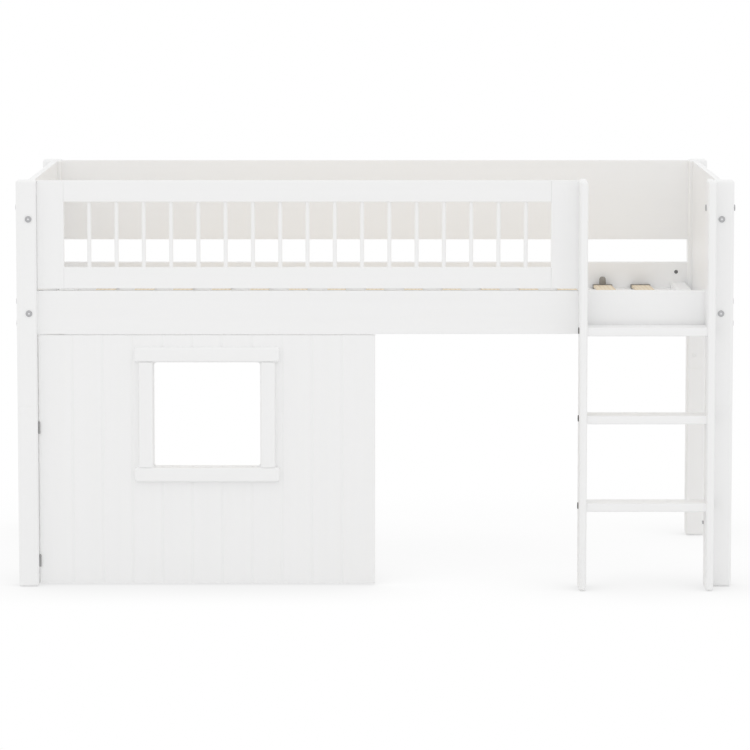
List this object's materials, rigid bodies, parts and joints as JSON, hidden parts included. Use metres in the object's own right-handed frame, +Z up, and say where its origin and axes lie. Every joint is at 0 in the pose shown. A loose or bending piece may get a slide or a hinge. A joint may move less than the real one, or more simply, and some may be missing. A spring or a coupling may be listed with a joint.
{
  "type": "mid sleeper bed",
  "caption": "White wooden mid sleeper bed with spindle front guard, straight ladder, slatted base and a hinged play-front door with a framed window under the rail.",
  "frame": {"origin": "on the floor, under the middle of the bed's bounding box", "axes": "+X along the bed to the ladder end, +Y from the ladder side to the plain back guard, +Z up"},
  "size_m": [2.106, 1.083, 1.204],
  "materials": {
    "white_lacquer": "satin white lacquer over smooth timber",
    "slat_wood": "pale sprung laminated wood, unpainted",
    "bolt_steel": "zinc-plated steel, dull",
    "dark_steel": "dark bronzed steel",
    "dark_plastic": "moulded dark plastic, matte",
    "dowel_wood": "bare beech"
  },
  "bodies": {
    "frame": {"back_guard_panel": "white_lacquer", "back_side_rail": "white_lacquer", "barrel_nuts": "bolt_steel", "crossbar_left": "white_lacquer", "crossbar_right": "white_lacquer", "end_panel_left": "white_lacquer", "end_panel_right": "white_lacquer", "front_side_rail": "white_lacquer", "guard_rail_bottom": "white_lacquer", "guard_rail_top": "white_lacquer", "guard_spindles": "white_lacquer", "guard_stile_left": "white_lacquer", "guard_stile_right": "white_lacquer", "hinge_leg_leaves": "dark_steel", "hinge_pins": "dark_steel", "ladder_bolts": "dark_steel", "ladder_stringer_left": "white_lacquer", "ladder_stringer_right": "white_lacquer", "ladder_through_bolt": "bolt_steel", "leg_back_left": "white_lacquer", "leg_back_right": "white_lacquer", "leg_front_left": "white_lacquer", "leg_front_right": "white_lacquer", "leg_studs": "bolt_steel", "panel_bolts": "bolt_steel", "post_back_left": "white_lacquer", "post_back_right": "white_lacquer", "post_front_left": "white_lacquer", "post_front_right": "white_lacquer", "rail_bolts": "bolt_steel", "slat_01": "slat_wood", "slat_02": "slat_wood", "slat_03": "slat_wood", "slat_04": "slat_wood", "slat_05": "slat_wood", "slat_06": "slat_wood", "slat_07": "slat_wood", "slat_08": "slat_wood", "slat_09": "slat_wood", "slat_10": "slat_wood", "slat_11": "slat_wood", "slat_12": "slat_wood", "slat_13": "slat_wood", "slat_14": "slat_wood", "slat_15": "slat_wood", "slat_end_caps": "dark_plastic", "slat_ledger_back": "white_lacquer", "slat_ledger_front": "white_lacquer", "slat_pegs": "dark_plastic", "threaded_inserts": "bolt_steel", "tread_bottom": "white_lacquer", "tread_middle": "white_lacquer", "tread_top": "white_lacquer", "wood_dowels": "dowel_wood"},
    "door": {"door_panel": "white_lacquer", "hinge_door_leaves": "dark_steel", "window_trim_bottom": "white_lacquer", "window_trim_left": "white_lacquer", "window_trim_right": "white_lacquer", "window_trim_top": "white_lacquer"}
  },
  "joints": [
    {"name": "door_hinge", "type": "hinge", "parent": "frame", "child": "door", "pos_m": [-0.988, -0.4392, 0.272], "axis": [0, 0, -1], "range_deg": [0, 100]}
  ]
}
